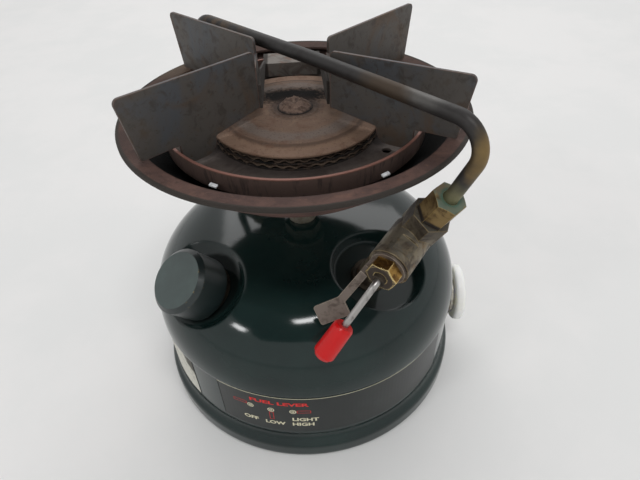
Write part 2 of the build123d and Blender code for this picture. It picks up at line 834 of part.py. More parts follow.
# Mixing chamber: an upright tube with a bell-mouthed intake facing the gas tip
mixer_low = stud_top
bowl_seat = bowl_floor - bowl_sheet - seat_gap
mixer_bore = mixer_radius - mixer_wall
bell_mouth = tube_end_radius - tip_length - tip_gap
bell_low = bell_mouth - intake_bell_length
intake_bore = intake_radius - intake_wall
intake = slanted(Vector(0, 0, tube_low_height), valve_azimuth + 180, 0)
cup_seat = cup_floor - cup_sheet - seat_gap
bridge_low = cup_seat - bridge_thickness
with BuildPart() as mixing_chamber:
    turned(Plane.XY, mixer_low, cup_seat, mixer_radius)
    turned(Plane.XY, bowl_seat - bowl_shelf, bowl_seat, bowl_shelf_radius)
    turned(intake, 0, bell_low, intake_radius)
    lathe(intake, [(0, bell_low), (intake_radius, bell_low), (intake_bell, bell_mouth), (0, bell_mouth)])
    turned(Plane.XY, mixer_low, bridge_low, mixer_bore, mode=Mode.SUBTRACT)
    turned(Plane.XY, bridge_low, cup_seat, mixer_bore, mixer_hub, mode=Mode.SUBTRACT)
    for side in (0, 90):
        with BuildSketch(Plane.XY.offset(bridge_low)) as spoke:
            Rectangle(2 * mixer_radius - mixer_wall, mixer_spoke, rotation=side)
        extrude(spoke.sketch, amount=bridge_thickness)
    turned(intake, 0, bell_low, intake_bore, mode=Mode.SUBTRACT)
    lathe(
        intake,
        [(0, bell_low), (intake_bore, bell_low), (intake_bell - intake_wall, bell_mouth), (0, bell_mouth)],
        Mode.SUBTRACT,
    )
    turned(Plane.XY, bridge_low, cup_seat, screw_radius + seat_gap / 2, mode=Mode.SUBTRACT)
    with BuildSketch(Plane.XY.offset(bowl_seat - bowl_shelf)) as holes:
        with PolarLocations(bowl_screw_circle, bowl_screw_count, start_angle=bowl_screw_start):
            Circle(bowl_screw_radius + seat_gap / 2)
    extrude(holes.sketch, amount=bowl_shelf, mode=Mode.SUBTRACT)
keep(mixing_chamber, "mixing_chamber")

# Burner bowl: a cone with an inward flange, vents, and a hole for the generator
flange_low = bowl_rim_height - bowl_flange_drop
vent_circle = bowl_floor_radius - vent_inset
with BuildPart() as burner_bowl:
    lathe(
        Plane.XY,
        [
            (mixer_radius + seat_gap, bowl_floor - bowl_sheet),
            (bowl_floor_radius + bowl_sheet * (sqrt(2) - 1), bowl_floor - bowl_sheet),
            (bowl_rim_radius, bowl_rim_height - bowl_sheet * sqrt(2)),
            (bowl_rim_radius, bowl_rim_height - bowl_edge),
            (bowl_rim_radius - bowl_edge, bowl_rim_height),
            (bowl_flange_inner, flange_low),
            (bowl_flange_inner, flange_low - bowl_sheet),
            (bowl_rim_radius - bowl_flange * bowl_edge, bowl_rim_height - bowl_sheet - bowl_edge),
            (bowl_floor_radius, bowl_floor),
            (mixer_radius + seat_gap, bowl_floor),
        ],
    )
    with BuildSketch(Plane.XY.offset(bowl_floor - 2 * bowl_sheet)) as openings:
        with PolarLocations(vent_circle, vent_count, start_angle=vent_start):
            Circle(vent_radius)
        with PolarLocations(bowl_screw_circle, bowl_screw_count, start_angle=bowl_screw_start):
            Circle(bowl_screw_radius + seat_gap / 2)
        with Locations(polar(-tube_far_radius, valve_azimuth, 0)):
            Circle(tube_radius + tube_hole_gap)
    extrude(openings.sketch, amount=bowl_depth + 4 * bowl_sheet, mode=Mode.SUBTRACT)
keep(burner_bowl, "burner_bowl")

head_low = bowl_floor + seat_gap
with BuildPart() as bowl_screws:
    with BuildSketch(Plane.XY.offset(bowl_seat - bowl_shelf)) as shanks:
        with PolarLocations(bowl_screw_circle, bowl_screw_count, start_angle=bowl_screw_start):
            Circle(bowl_screw_radius)
    extrude(shanks.sketch, amount=head_low - bowl_seat + bowl_shelf)
    with BuildSketch(Plane.XY.offset(head_low)) as heads:
        with PolarLocations(bowl_screw_circle, bowl_screw_count, start_angle=bowl_screw_start):
            Circle(bowl_screw_head)
    extrude(heads.sketch, amount=bowl_screw_head_height)
keep(bowl_screws, "bowl_screws")

# Burner cup with a drain hole
with BuildPart() as burner_cup:
    lathe(
        Plane.XY,
        [
            (mixer_hub, cup_floor - cup_sheet),
            (cup_radius - cup_corner, cup_floor - cup_sheet),
            (cup_radius, cup_floor + cup_sheet),
            (cup_radius + cup_flare, cup_rim_height),
            (cup_radius - cup_flare, cup_rim_height),
            (cup_radius - cup_sheet, cup_floor + cup_corner),
            (cup_radius - cup_sheet - cup_corner, cup_floor),
            (mixer_hub, cup_floor),
        ],
    )
    drain = Plane(origin=polar(cup_radius - cup_hole_inset, cup_hole_azimuth, cup_floor))
    turned(drain, -2 * cup_sheet, cup_sheet, cup_hole_radius, mode=Mode.SUBTRACT)
keep(burner_cup, "burner_cup")

# Flame rings: three flat rings with two wavy rings between them
ring_pitch = flat_ring + wavy_ring + 2 * layer_gap
ring_base = cup_floor + layer_gap
with BuildPart() as flat_rings:
    for layer in range(3):
        low = ring_base + layer * ring_pitch
        turned(Plane.XY, low, low + flat_ring, ring_outer, ring_inner)
keep(flat_rings, "flat_rings")

with BuildPart() as wavy_rings:
    wave_radius = wavy_ring / 2
    for layer in range(2):
        middle = ring_base + layer * ring_pitch + flat_ring + layer_gap + wave_radius
        turned(Plane.XY, middle - wavy_web / 2, middle + wavy_web / 2, ring_outer, ring_inner)
        for wave in range(wave_count):
            ray = slanted(Vector(0, 0, middle), wave * 360 / wave_count + layer * wave_turn, 0)
            turned(ray, ring_inner + wavy_inset, ring_outer - wavy_inset, wave_radius)
keep(wavy_rings, "wavy_rings")

# Burner cap: stepped disc held down by the centre screw
cap_under = ring_base + 2 * ring_pitch + flat_ring + layer_gap
cap_edge = cap_under + burner_cap_sheet
cap_crown = cap_edge + burner_cap_rise
with BuildPart() as burner_cap:
    lathe(
        Plane.XY,
        [
            (screw_radius + seat_gap, cap_crown - burner_cap_sheet),
            (burner_cap_boss, cap_crown - burner_cap_sheet - burner_cap_fold),
            (burner_cap_step - burner_cap_sheet, cap_under),
            (burner_cap_radius, cap_under),
            (burner_cap_radius, cap_edge - burner_cap_edge),
            (burner_cap_radius - burner_cap_edge, cap_edge),
            (burner_cap_step + burner_cap_fold, cap_edge),
            (burner_cap_step - burner_cap_edge, cap_edge + burner_cap_fold),
            (burner_cap_boss, cap_crown - burner_cap_edge),
            (burner_cap_boss - burner_cap_fold, cap_crown),
            (screw_radius + seat_gap, cap_crown),
        ],
    )
keep(burner_cap, "burner_cap")

screw_seat = cap_crown + seat_gap
with BuildPart() as burner_screw:
    turned(Plane.XY, bridge_low - screw_tail, screw_seat, screw_radius)
    lathe(
        Plane.XY,
        [
            (0, screw_seat),
            (screw_head_radius, screw_seat),
            (screw_head_radius - screw_head_rim, cap_crown + screw_head_rim),
            (screw_head_radius / 2, cap_crown + screw_head),
            (0, cap_crown + screw_head),
        ],
    )
keep(burner_screw, "burner_screw")

# Grate halves: blade, web and blade folded from one sheet, each bent a little out of true
blade_rest = bowl_rim_height + seat_gap
lobe_low = cup_floor + lobe_clear
over_cap = cap_edge + lobe_over_cap
web_bottom = bowl_rim_height + web_bottom_rise
web_top = blade_top - web_drop


def blade(side_x, side_y, shift, angle, trim):
    run = cos(radians(angle))
    rise = sin(radians(angle))
    ray = Vector(side_x * run, side_y * rise, 0)
    start = Vector(side_x * web_x, shift + side_y * web_half, 0)
    lead = start.dot(ray)

    def reach(radius):
        return -lead + sqrt(lead**2 - start.dot(start) + radius**2)

    length = bowl_rim_radius - blade_inset - trim
    lobe_outer = reach(cup_radius - cup_sheet - lobe_gap)
    lobe_inner = reach(burner_cap_radius + lobe_gap)
    lobe_round = lobe_share * (lobe_outer - lobe_inner)
    face = Plane(origin=start, x_dir=ray, z_dir=(ray.Y, -ray.X, 0))
    with BuildSketch(face) as outline:
        with BuildLine():
            FilletPolyline(
                (0, blade_top),
                (length, blade_top),
                (length - blade_slant, blade_rest),
                (lobe_outer, blade_rest),
                (lobe_outer, lobe_low),
                (lobe_inner, lobe_low),
                (lobe_inner, over_cap),
                (0, web_bottom),
                radius=[
                    blade_inner_corner,
                    blade_corner,
                    blade_sheet,
                    blade_sheet / 2,
                    lobe_round,
                    lobe_round,
                    blade_sheet,
                    blade_sheet / 2,
                ],
                close=True,
            )
        make_face()
    extrude(outline.sketch, amount=blade_sheet / 2, both=True)


def grate_half(side_x, shift, front_angle, back_angle, front_trim):
    blade(side_x, -1, shift, front_angle, front_trim)
    blade(side_x, 1, shift, back_angle, 0)
    half_web = web_half + blade_sheet / 2
    with BuildSketch(Plane.YZ.offset(side_x * web_x)) as web:
        with Locations((shift, (web_top + web_bottom) / 2)):
            Rectangle(2 * half_web, web_top - web_bottom)
    extrude(web.sketch, amount=blade_sheet / 2, both=True)


with BuildPart() as grate_left:
    grate_half(-1, left_shift, left_front_angle, left_back_angle, 0)
keep(grate_left, "grate_left")

with BuildPart() as grate_right:
    grate_half(1, right_shift, right_front_angle, right_back_angle, right_front_trim)
keep(grate_right, "grate_right")

# Grate bridge: two arms against the webs and a lipped strap resting on the cup rim
strap_front = cup_radius - strap_cover
strap_back = cup_radius + strap_over
strap_low = cup_rim_height + seat_gap
arm_outer = web_x - blade_sheet / 2
strap_inner = strap_front + strap_sheet
arm_top = web_bottom + arm_height
with BuildPart() as grate_bridge:
    with BuildSketch(Plane.XY.offset(strap_low)) as strap:
        with Locations((0, (strap_front + strap_back) / 2)):
            Rectangle(2 * arm_outer, strap_back - strap_front)
    extrude(strap.sketch, amount=strap_sheet)
    with BuildSketch(Plane.XY.offset(strap_low - strap_lip)) as lip_face:
        with Locations((0, strap_front + strap_sheet / 2)):
            Rectangle(2 * arm_outer, strap_sheet)
    extrude(lip_face.sketch, amount=strap_lip + strap_sheet)
    for side in (-1, 1):
        with BuildSketch(Plane.YZ.offset(side * (arm_outer - strap_sheet / 2))) as arm:
            with BuildLine():
                Polyline(
                    (-web_half, web_bottom),
                    (web_half, web_bottom - strap_sheet),
                    (strap_inner, strap_low),
                    (strap_inner, strap_low + 2 * strap_sheet),
                    (web_half + 2 * strap_sheet, arm_top),
                    (-web_half, arm_top),
                    close=True,
                )
            make_face()
        extrude(arm.sketch, amount=strap_sheet / 2, both=True)
keep(grate_bridge, "grate_bridge")
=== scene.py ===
import json
import math
import bpy
import bmesh
from mathutils import Matrix, Vector, noise


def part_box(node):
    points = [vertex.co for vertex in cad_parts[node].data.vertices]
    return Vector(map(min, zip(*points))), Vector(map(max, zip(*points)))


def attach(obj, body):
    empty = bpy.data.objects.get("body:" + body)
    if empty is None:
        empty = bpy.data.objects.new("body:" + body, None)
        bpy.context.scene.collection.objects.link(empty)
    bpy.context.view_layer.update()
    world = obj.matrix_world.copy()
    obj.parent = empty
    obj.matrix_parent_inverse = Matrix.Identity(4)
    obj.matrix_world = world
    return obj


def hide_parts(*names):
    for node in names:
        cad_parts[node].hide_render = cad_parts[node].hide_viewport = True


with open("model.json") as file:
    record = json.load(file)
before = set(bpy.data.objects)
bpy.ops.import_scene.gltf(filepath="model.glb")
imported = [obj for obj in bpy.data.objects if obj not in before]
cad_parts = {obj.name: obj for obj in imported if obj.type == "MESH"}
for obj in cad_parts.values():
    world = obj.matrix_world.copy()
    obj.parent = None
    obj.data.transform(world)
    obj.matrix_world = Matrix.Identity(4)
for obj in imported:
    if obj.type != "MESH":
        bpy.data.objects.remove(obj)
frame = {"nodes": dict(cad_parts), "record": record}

mm = 0.001
nodes = frame["nodes"]
scene = bpy.context.scene
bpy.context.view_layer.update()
print("stove frame loaded:", len(nodes), "nodes")

patterns = {"cloudRoughness": 0.6, "ringDetail": 3.0, "borderDetail": 4.0,  # what every finish shares
            "wornSamples": 4, "softSamples": 6}


def linear(hexText):  # sRGB hex to linear colour
    parts = [int(hexText[i:i + 2], 16) / 255 for i in (0, 2, 4)]
    return tuple(c / 12.92 if c <= 0.04045 else ((c + 0.055) / 1.055) ** 2.4 for c in parts) + (1.0,)


def addNode(tree, kind, sockets=None, **settings):  # any shader node with its settings and sockets
    node = tree.nodes.new("ShaderNode" + kind)
    for name, value in settings.items():
        setattr(node, name, value)
    for name, value in (sockets or {}).items():
        socket = node.inputs[name]
        if isinstance(value, bpy.types.NodeSocket):
            tree.links.new(value, socket)
        else:
            socket.default_value = value
    return node


def patternMask(tree, coords, rule):  # a 0..1 mask from one rule, sizes in mm
    kind = rule["kind"]
    scale = 1 / (rule.get("size", 1.0) * mm)
    if kind == "edges":
        reach = {"Radius": rule["size"] * mm}
        worn = addNode(tree, "Bevel", reach, samples=patterns["wornSamples"]).outputs[0]
        flat = addNode(tree, "NewGeometry").outputs["Normal"]
        dot = addNode(tree, "VectorMath", {0: worn, 1: flat}, operation="DOT_PRODUCT").outputs["Value"]
        value = addNode(tree, "Math", {0: 1.0, 1: dot}, operation="SUBTRACT").outputs[0]
    elif kind == "facing":
        flat = addNode(tree, "NewGeometry").outputs["Normal"]
        dot = addNode(tree, "VectorMath", {0: flat, 1: rule["way"]}, operation="DOT_PRODUCT")
        value = dot.outputs["Value"]
    elif kind == "around":
        centre = [c * mm for c in rule["centre"]]
        offset = addNode(tree, "VectorMath", {0: coords, 1: centre}, operation="SUBTRACT").outputs[0]
        spread = addNode(tree, "VectorMath", {0: offset, 1: rule["axes"]}, operation="MULTIPLY").outputs[0]
        length = addNode(tree, "VectorMath", {0: spread}, operation="LENGTH").outputs["Value"]
        value = addNode(tree, "Math", {0: length, 1: 1 / mm}, operation="MULTIPLY").outputs[0]
    elif kind == "along":
        dot = addNode(tree, "VectorMath", {0: coords, 1: rule["way"]}, operation="DOT_PRODUCT")
        value = addNode(tree, "Math", {0: dot.outputs["Value"], 1: 1 / mm}, operation="MULTIPLY").outputs[0]
    elif kind == "turned":
        flat = addNode(tree, "VectorMath", {0: coords, 1: (1.0, 1.0, 0.0)}, operation="MULTIPLY").outputs[0]
        length = addNode(tree, "VectorMath", {0: flat}, operation="LENGTH").outputs["Value"]
        rings = addNode(tree, "TexNoise", {"W": length, "Scale": scale, "Detail": patterns["ringDetail"]},
                        noise_dimensions="1D")
        value = rings.outputs["Fac"]
    else:  # clouds
        stretch = addNode(tree, "Mapping", {"Vector": coords, "Scale": rule["axes"]}).outputs[0]
        patches = addNode(tree, "TexNoise", {"Vector": stretch, "Scale": scale, "Detail": rule["detail"],
                                             "Roughness": patterns["cloudRoughness"],
                                             "Distortion": rule["warp"]})
        value = patches.outputs["Fac"]
    if "ragged" in rule:  # how far a border wanders
        wander = addNode(tree, "TexNoise", {"Vector": coords, "Scale": scale,
                                            "Detail": patterns["borderDetail"]}).outputs["Fac"]
        ragged = addNode(tree, "Math", {0: wander, 1: rule["ragged"]}, operation="MULTIPLY").outputs[0]
        value = addNode(tree, "Math", {0: value, 1: ragged}, operation="ADD").outputs[0]
    low, high = rule["span"]
    return addNode(tree, "MapRange", {"Value": value, "From Min": low, "From Max": high},
                   interpolation_type="SMOOTHSTEP").outputs["Result"]


def makeFinish(spec):  # one material from its base, its stains and its surface relief
    material = bpy.data.materials.new(spec["name"])
    material.use_nodes = True
    tree = material.node_tree
    shader = tree.nodes["Principled BSDF"]
    coords = addNode(tree, "TexCoord").outputs["Object"]
    looks = {"Base Color": linear(spec["colour"]), "Roughness": spec["rough"], "Metallic": spec["metal"],
             "Coat Weight": spec.get("coat", 0.0)}
    for mark in spec.get("stains", ()):
        mask = None
        for rule in mark["masks"]:
            part = patternMask(tree, coords, rule)
            if mask is not None:
                part = addNode(tree, "Math", {0: mask, 1: part}, operation="MULTIPLY").outputs[0]
            mask = part
        if mark.get("share", 1.0) < 1.0:
            mask = addNode(tree, "Math", {0: mask, 1: mark["share"]}, operation="MULTIPLY").outputs[0]
        tint = linear(mark["colour"])
        blend = addNode(tree, "Mix", {0: mask, 6: looks["Base Color"], 7: tint}, data_type="RGBA")
        looks["Base Color"] = blend.outputs[2]
        for socket, key in (("Roughness", "rough"), ("Metallic", "metal"), ("Coat Weight", "coat")):
            if key in mark:
                blend = addNode(tree, "Mix", {0: mask, 2: looks[socket], 3: mark[key]}, data_type="FLOAT")
                looks[socket] = blend.outputs[0]
    for socket, value in looks.items():
        if isinstance(value, bpy.types.NodeSocket):
            tree.links.new(value, shader.inputs[socket])
        else:
            shader.inputs[socket].default_value = value
    for socket, value in spec.get("gloss", {}).items():
        shader.inputs[socket].default_value = value
    normal = None
    if "soft" in spec:  # rounded-over edges
        reach = {"Radius": spec["soft"] * mm}
        normal = addNode(tree, "Bevel", reach, samples=patterns["softSamples"]).outputs[0]
    for rule in spec.get("relief", ()):
        sockets = {"Height": patternMask(tree, coords, rule), "Strength": rule["strength"],
                   "Distance": rule["depth"] * mm}
        if normal is not None:
            sockets["Normal"] = normal
        normal = addNode(tree, "Bump", sockets).outputs[0]
    if normal is not None:
        tree.links.new(normal, shader.inputs["Normal"])
        if spec.get("coat"):
            tree.links.new(normal, shader.inputs["Coat Normal"])
    return material


def clouds(size, low, high, detail=5.0, warp=0.0, axes=(1.0, 1.0, 1.0)):  # cloudy patches of one size
    return {"kind": "clouds", "size": size, "span": (low, high), "detail": detail, "warp": warp, "axes": axes}


def turned(size, low, high):  # rings round the stove's own axis
    return {"kind": "turned", "size": size, "span": (low, high)}


def edges(size, low, high):  # convex edges, where paint and rust rub off
    return {"kind": "edges", "size": size, "span": (low, high)}


def facing(way, low, high):  # how far a face looks one way
    return {"kind": "facing", "way": way, "span": (low, high)}


def along(way, size, ragged, low, high):  # distance along a direction, with a ragged border
    return {"kind": "along", "way": way, "size": size, "ragged": ragged, "span": (low, high)}


def around(centre, size, ragged, low, high, axes=(1, 1, 1)):  # distance from a spot, with a ragged border
    return {"kind": "around", "centre": centre, "axes": axes, "size": size, "ragged": ragged,
            "span": (low, high)}


def fromMiddle(size, ragged, low, high):  # distance from the stove's own axis
    return around((0, 0, 0), size, ragged, low, high, axes=(1, 1, 0))


def stain(colour, *masks, **looks):  # one colour laid on where all its masks meet
    return {"colour": colour, "masks": masks, **looks}


def raised(rule, strength, depth):  # surface relief that follows a mask
    return {**rule, "strength": strength, "depth": depth}


spots = {  # places that a finish is centred on, mm
    "fillerDish": (-41.4, -28.5, 65.5), "valveDish": (27.7, -29.2, 66.2), "capFront": (-40, -45, 80),
    "bowlBackLeft": (-52, 42, 130), "capSoot": (-0.5, 10.8, 0), "screwFoot": (0, 1, 0),
    "grateMiddle": (0, 0, 128), "tubeOverFlame": (30, -32, 145), "tubeBend": (38, -42, 151.5),
    "nutLeft": (41.5, -50, 123), "nutFace": (45, -53.5, 122.4), "endBlock": (42.5, -50.5, 115.5),
    "stickerCorner": (-48.9, -47.6, 40.5)}
capWay = (-0.4949, -0.3662, 0.788)  # out through the filler cap's top
riserWay = (0.312, -0.372, 0.875)  # up the valve's riser
barrelWay = (-0.61994, -0.77703, -0.10906)  # out of the valve's side barrel

finishes = {}

# near-black green under deep gloss, faint orange peel, dust and rubbed spots, painted shade down in the
# filler dish and a painted lighter reflection in the valve dish
finishes["green_enamel"] = makeFinish({
    "name": "stovedGreenEnamel", "colour": "11201f", "rough": 0.4, "metal": 0.0, "soft": 1.7, "coat": 1.0,
    "stains": [
        stain("192a28", clouds(40, 0.35, 0.7)),
        stain("3b4541", clouds(1.1, 0.68, 0.78, detail=2), share=0.3),
        # painted shade: darker, less glossy green down in the filler dish round the cap
        stain("151c1b", around(spots["fillerDish"], 4, 1.5, 17.4, 15.2), coat=0.15),
        # painted reflection: lighter green in the valve dish, standing in for light caught on its wall
        stain("2a3231", around(spots["valveDish"], 4, 1.5, 18.2, 16), coat=0.9)],
    "relief": [raised(clouds(5.0, 0, 1, detail=1), 0.04, 0.2)],
    "gloss": {"Specular IOR Level": 0.0, "Coat Roughness": 0.1, "Coat IOR": 1.43}})

finishes["cap_enamel"] = makeFinish({  # the same green, handled satin, rim chipped to bare brass, painted shade down its sides
    "name": "handledCapEnamel", "colour": "263735", "rough": 0.42, "metal": 0.0, "soft": 0.5, "coat": 0.6,
    "stains": [
        stain("30423f", clouds(9, 0.35, 0.7)),
        # painted shade: darker, less glossy green on the cap's sides, away from its top
        stain("142020", facing(capWay, 0.95, 0.75), coat=0.3),
        stain("a08a55", edges(1.0, 0.004, 0.03), clouds(1.4, 0.57, 0.62),
              around(spots["capFront"], 3, 2, 12, 8), share=0.95, rough=0.4, metal=0.9)],
    "relief": [raised(clouds(2.4, 0, 1, detail=1), 0.05, 0.2)],
    "gloss": {"Coat Roughness": 0.16, "Coat IOR": 1.45}})

# pressed bowl burnt to an even red-brown rust, painted shade on the rim's outer face, black soot with painted
# shade down inside
finishes["rusted_steel"] = makeFinish({
    "name": "burntRustedBowl", "colour": "614a43", "rough": 0.8, "metal": 0.15, "soft": 0.8,
    "stains": [
        stain("4d3c38", clouds(15, 0.4, 0.66, warp=0.8)),
        stain("6e5348", clouds(7, 0.54, 0.7, warp=0.6), share=0.6),
        stain("775848", clouds(1.2, 0.56, 0.72), share=0.45),
        stain("3c312e", clouds(2.4, 0.55, 0.7), share=0.55),
        stain("3c302c", along((0, 1, 0), 9, 16, -44, -8), share=0.55),
        # painted shade: dark grey on the rim's outer face
        stain("38332f", fromMiddle(3, 0.5, 62.9, 63.6), rough=0.75),
        stain("594b3c", around(spots["bowlBackLeft"], 5, 12, 25, 13, axes=(1, 1, 0.4)), share=0.65,
              rough=0.65),
        # soot and painted shade: near black down in the gap between bowl and cup
        stain("070606", fromMiddle(3, 1.2, 58.9, 57.4), facing((0, 0, 1), 0.0, 0.2), rough=0.95,
              metal=0.0)],
    "relief": [raised(clouds(0.9, 0.3, 0.8), 0.35, 0.25), raised(clouds(9, 0.2, 0.8), 0.15, 0.4)],
    "gloss": {"Specular IOR Level": 0.25}})

# spun cup, grey-brown floor, brown streaked wall, red-brown rust rim with a painted highlight along its top
# edge
cupFinish = makeFinish({
    "name": "burntSpunCup", "colour": "554c47", "rough": 0.7, "metal": 0.35, "soft": 0.4,
    "stains": [
        stain("463c37", clouds(9, 0.45, 0.66, warp=0.8)),
        stain("604e47", fromMiddle(2, 1, 46.5, 48.6), rough=0.8),
        stain("3a302d", fromMiddle(2, 1, 46.5, 48.6), clouds(1.6, 0.5, 0.66, axes=(1.0, 1.0, 0.12)),
              share=0.7),
        stain("2a2321", fromMiddle(4, 6, 41, 35), share=0.6, rough=0.9),
        # rust and painted highlight: bright red-brown along the top edge of the rim
        stain("80594e", along((0, 0, 1), 3, 0.3, 128.75, 129.2), rough=0.55)],
    "relief": [raised(clouds(1.0, 0.3, 0.8), 0.25, 0.2)]})

finishes["burner_cap_steel"] = makeFinish({  # spun cap burnt tan, soft rings, soot behind the screw, painted shade round the screw's foot
    "name": "burntSpunCap", "colour": "6d584a", "rough": 0.72, "metal": 0.25, "soft": 0.4,
    "stains": [
        stain("66554b", turned(5, 0.42, 0.62), share=0.5),
        stain("7b6656", clouds(7, 0.5, 0.72, warp=0.5), share=0.6),
        stain("5a4940", clouds(2.2, 0.55, 0.7), share=0.45),
        stain("6c645f", fromMiddle(5, 3, 18, 21), fromMiddle(5, 3, 25.5, 23.5), share=0.6),
        stain("46372e", fromMiddle(7, 0.8, 25.2, 26.2), fromMiddle(7, 0.8, 27.6, 26.6), share=0.65),
        stain("846b5a", fromMiddle(5, 1.5, 27.2, 28.4), share=0.6),
        stain("5f4436", clouds(4.5, 0.52, 0.66, warp=0.5), share=0.5),
        stain("3b2d25", clouds(0.7, 0.57, 0.68, detail=3), share=0.45),
        stain("0c0908", around(spots["capSoot"], 1.3, 8, 15, 8.5, axes=(0.5, 1.15, 0)), rough=1.0,
              metal=0.0),
        # painted shade: dark ring round the foot of the screw head
        stain("2b201b", around(spots["screwFoot"], 1.3, 5, 14, 9, axes=(1, 1, 0)), share=0.75)],
    "relief": [raised(fromMiddle(9, 0.8, 26.6, 25.2), 0.7, 0.8), raised(turned(4, 0.3, 0.7), 0.06, 0.2),
               raised(clouds(0.9, 0.3, 0.8), 0.35, 0.2)],
    "gloss": {"Specular IOR Level": 0.25}})

ringFinish = makeFinish({  # sooted ring stampings, brown where the edge rubs
    "name": "sootedRingStampings", "colour": "2b2522", "rough": 0.85, "metal": 0.2,
    "stains": [
        stain("55453a", clouds(2.5, 0.5, 0.66), share=0.8),
        stain("120f0e", clouds(7, 0.5, 0.64))],
    "relief": [raised(clouds(0.6, 0.3, 0.8), 0.3, 0.15)]})

waveFinish = makeFinish({  # crimped ring, brown scale over grey steel
    "name": "scaledCrimpedSteel", "colour": "6b5b4e", "rough": 0.7, "metal": 0.35,
    "stains": [
        stain("453830", clouds(3, 0.45, 0.65)),
        stain("8a7764", clouds(1.2, 0.58, 0.7), share=0.7)],
    "relief": [raised(clouds(0.5, 0.3, 0.8), 0.25, 0.12)]})

bossFinish = makeFinish({  # screw head crusted with flaking rust, painted shade round its foot
    "name": "crustedScrewRust", "colour": "6c584d", "rough": 0.9, "metal": 0.05,
    "stains": [
        stain("4d3c33", clouds(2.6, 0.45, 0.62, warp=0.8)),
        stain("857162", clouds(1.0, 0.56, 0.7), share=0.7),
        # painted shade: dark rim at the foot of the screw head
        stain("1d1714", fromMiddle(2, 1.5, 6.4, 7.2))],
    "relief": [raised(clouds(0.9, 0.3, 0.8), 0.6, 0.35)]})

bridgeFinish = makeFinish({  # strap, grey heat scale with brown clouds
    "name": "greyScaledStrap", "colour": "77716b", "rough": 0.65, "metal": 0.35, "soft": 0.4,
    "stains": [
        stain("5c544e", clouds(6, 0.45, 0.66, warp=0.6)),
        stain("6e5548", clouds(4, 0.52, 0.66), share=0.7, rough=0.8, metal=0.1),
        stain("2f2a26", along((1, 0, 0), 3, 0.4, 10.3, 11.1), share=0.9, rough=0.9, metal=0.1),
        stain("2f2a26", along((-1, 0, 0), 3, 0.4, 10.3, 11.1), share=0.9, rough=0.9, metal=0.1)],
    "relief": [raised(clouds(1.0, 0.3, 0.8), 0.2, 0.2)]})

# satin sheet, grey with blue and brown heat clouds, rust freckles at the outer ends
finishes["grate_steel"] = makeFinish({
    "name": "heatTintedGrateSheet", "colour": "585450", "rough": 0.55, "metal": 0.45, "soft": 0.3,
    "stains": [
        stain("4f565e", clouds(26, 0.48, 0.66, warp=0.6), share=0.6),
        stain("5c4c3f", clouds(21, 0.52, 0.68, warp=0.8), share=0.85),
        stain("433d39", clouds(3.4, 0.5, 0.68, warp=0.6), share=0.7),
        stain("4a3728", clouds(1.1, 0.6, 0.7), share=0.6, rough=0.85, metal=0.1),
        stain("46372a", clouds(5.0, 0.5, 0.66),
              around(spots["grateMiddle"], 8, 14, 57, 68, axes=(1, 1, 0.6)), share=0.75, rough=0.85,
              metal=0.1),
        stain("735448", edges(0.5, 0.02, 0.1), share=0.7, rough=0.6, metal=0.3)],
    "relief": [raised(clouds(0.9, 0.3, 0.8), 0.12, 0.15)]})

# drawn tube, dark grey over the flame, brown where it cooks, painted highlight on the bend above the burner,
# brassy outer bend and olive foot
finishes["generator_steel"] = makeFinish({
    "name": "flameGreyedTube", "colour": "343231", "rough": 0.5, "metal": 0.55,
    "stains": [
        stain("2d2a29", clouds(6, 0.46, 0.66)),
        stain("4a3d30", around(spots["tubeOverFlame"], 5, 8, 19, 10, axes=(1, 1, 0.8)), share=0.8,
              rough=0.62),
        # painted highlight: lighter grey on the bend above the burner
        stain("62605d", around(spots["tubeBend"], 3, 4, 11, 5, axes=(1, 1, 1.3)), share=0.7, rough=0.45),
        stain("86704a", fromMiddle(8, 10, 78, 86), rough=0.45, metal=0.85),
        stain("7d7a5c", along((0, 0, 1), 5, 8, 136, 126), along((1, 0, 0), 5, 4, 10, 25), rough=0.55,
              metal=0.7),
        stain("5d4c3b", along((0, 1, 0), 5, 8, 20, 34), clouds(4, 0.4, 0.62, warp=0.5), share=0.7,
              rough=0.7, metal=0.3)],
    "relief": [raised(clouds(1.2, 0.3, 0.8), 0.12, 0.12)]})

# old machined brass gone olive-brown, dark seams, darker round the end block, a painted grey sheen on the
# faces turned up towards the ceiling lamp
finishes["fitting_brass"] = makeFinish({
    "name": "tarnishedFittingBrass", "colour": "7a705e", "rough": 0.45, "metal": 0.65, "soft": 0.35,
    "stains": [
        stain("4a4037", clouds(6, 0.42, 0.62, warp=0.8), rough=0.55),
        stain("86683a", clouds(4, 0.56, 0.68), share=0.55, rough=0.4),
        stain("35291f", clouds(2.0, 0.58, 0.7), share=0.8, rough=0.75, metal=0.3),
        # darker round the end block
        stain("2f2822", around(spots["endBlock"], 3, 2, 14, 10), share=0.6, rough=0.6),
        # painted sheen: greyer tone on faces turned up towards the ceiling lamp
        stain("726f65", facing((-0.1, -0.3, 0.95), 0.75, 0.95), clouds(5, 0.35, 0.55), share=0.55,
              rough=0.5),
        stain("bfa56c", edges(0.4, 0.03, 0.14), share=0.4, rough=0.3, metal=1.0)],
    "relief": [raised(clouds(0.8, 0.3, 0.8), 0.12, 0.15)]})

